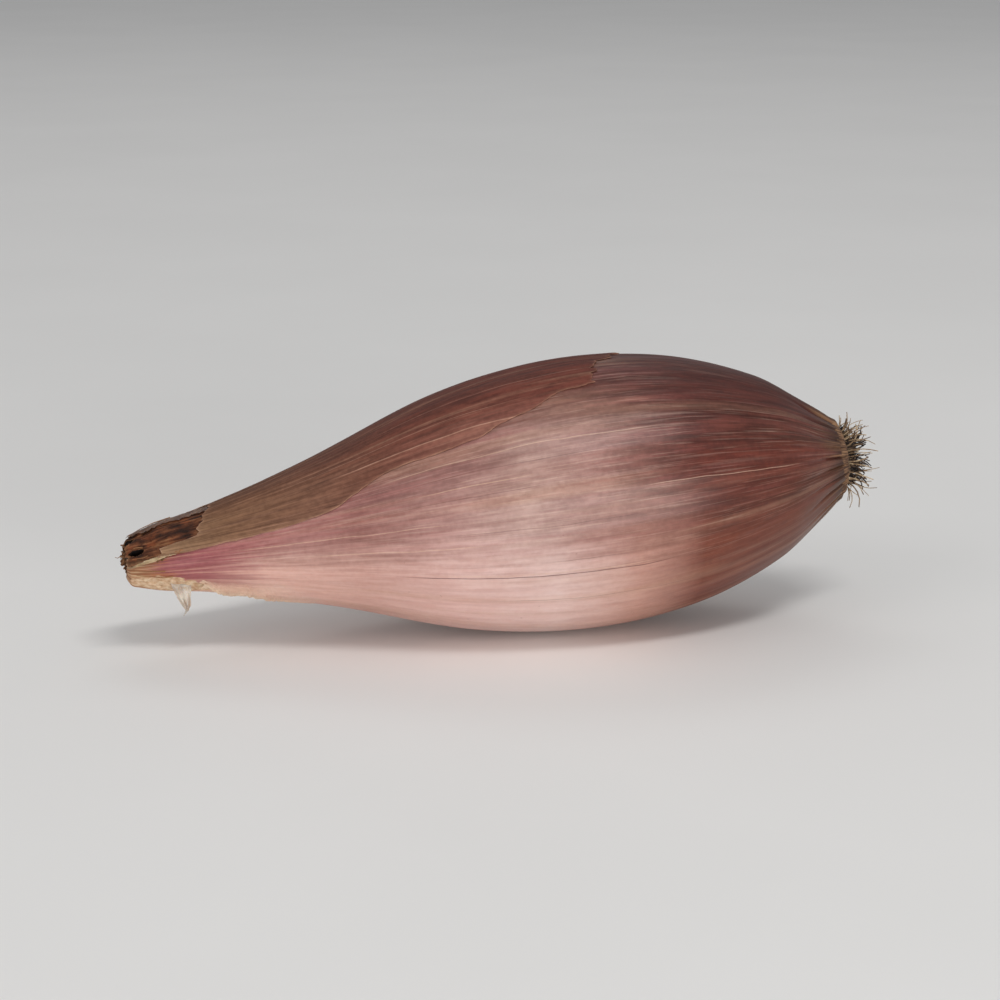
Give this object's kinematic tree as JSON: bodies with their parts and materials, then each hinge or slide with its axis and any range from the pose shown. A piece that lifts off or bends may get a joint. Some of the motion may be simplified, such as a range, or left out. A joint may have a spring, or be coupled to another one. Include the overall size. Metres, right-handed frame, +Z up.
{
  "type": "shallot",
  "caption": "Long pink and copper shallot lying on its side, with dry papery skin, a cut neck and a root plate with trimmed roots.",
  "frame": {"origin": "on the surface the shallot lies on, under the middle of its bounding box", "axes": "+Z up, +X along the bulb from the cut neck to the root plate, -Y towards the side that shows best"},
  "size_m": [0.097, 0.0344, 0.0349],
  "materials": {
    "skin": "satin",
    "dry_skin": "satin",
    "dried_leaf": "matte",
    "white_leaf": "matte",
    "roots": "matte"
  },
  "bodies": {
    "root": {"bulb": "skin", "outer_skin": "dry_skin", "neck_core": "dried_leaf", "leaf_shred": "white_leaf", "root_plate": "roots"}
  },
  "joints": []
}
